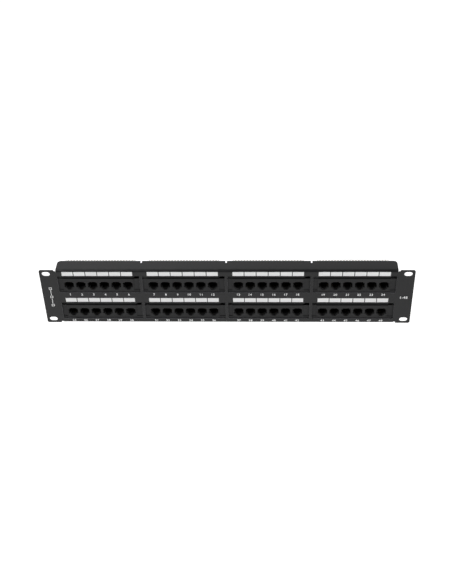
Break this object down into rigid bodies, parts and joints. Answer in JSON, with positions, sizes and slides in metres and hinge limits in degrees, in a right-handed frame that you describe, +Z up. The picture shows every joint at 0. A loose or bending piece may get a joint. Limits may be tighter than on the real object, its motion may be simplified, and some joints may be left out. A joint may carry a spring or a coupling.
{
  "type": "patch panel",
  "caption": "Two rack unit, 19-inch patch panel in black folded steel, with rows of modular sockets at the front and wire blocks at the rear.",
  "frame": {"origin": "midway between the two rack rails, on the plane where the ears' rear faces touch them, at mid height of the panel", "axes": "+X to the panel's right seen from the front, +Y to the rear of the rack, +Z up"},
  "size_m": [0.4826, 0.0357, 0.0882],
  "materials": {
    "powder_coat": "satin fine-texture powder coat on steel",
    "housing_black": "moulded ABS, fine spark texture",
    "carrier_black": "moulded polycarbonate, plain",
    "board_green": "glass-epoxy circuit board with solder mask",
    "wire_block_white": "moulded polycarbonate, plain",
    "label_white": "paper writing strip",
    "zinc": "zinc plated steel",
    "contact_gold": "gold flashed contact springs",
    "print_white": "white pad-printed marks"
  },
  "bodies": {
    "root": {"front_panel": "powder_coat", "jack_housing_1": "housing_black", "contact_carrier_1": "carrier_black", "circuit_board_1": "board_green", "wire_block_1": "wire_block_white", "label_strip_1": "label_white", "module_nut_1_left": "zinc", "module_nut_1_right": "zinc", "jack_housing_2": "housing_black", "contact_carrier_2": "carrier_black", "circuit_board_2": "board_green", "wire_block_2": "wire_block_white", "label_strip_2": "label_white", "module_nut_2_left": "zinc", "module_nut_2_right": "zinc", "jack_housing_3": "housing_black", "contact_carrier_3": "carrier_black", "circuit_board_3": "board_green", "wire_block_3": "wire_block_white", "label_strip_3": "label_white", "module_nut_3_left": "zinc", "module_nut_3_right": "zinc", "jack_housing_4": "housing_black", "contact_carrier_4": "carrier_black", "circuit_board_4": "board_green", "wire_block_4": "wire_block_white", "label_strip_4": "label_white", "module_nut_4_left": "zinc", "module_nut_4_right": "zinc", "jack_housing_5": "housing_black", "contact_carrier_5": "carrier_black", "circuit_board_5": "board_green", "wire_block_5": "wire_block_white", "label_strip_5": "label_white", "module_nut_5_left": "zinc", "module_nut_5_right": "zinc", "jack_housing_6": "housing_black", "contact_carrier_6": "carrier_black", "circuit_board_6": "board_green", "wire_block_6": "wire_block_white", "label_strip_6": "label_white", "module_nut_6_left": "zinc", "module_nut_6_right": "zinc", "jack_housing_7": "housing_black", "contact_carrier_7": "carrier_black", "circuit_board_7": "board_green", "wire_block_7": "wire_block_white", "label_strip_7": "label_white", "module_nut_7_left": "zinc", "module_nut_7_right": "zinc", "jack_housing_8": "housing_black", "contact_carrier_8": "carrier_black", "circuit_board_8": "board_green", "wire_block_8": "wire_block_white", "label_strip_8": "label_white", "module_nut_8_left": "zinc", "module_nut_8_right": "zinc"}
  },
  "joints": []
}
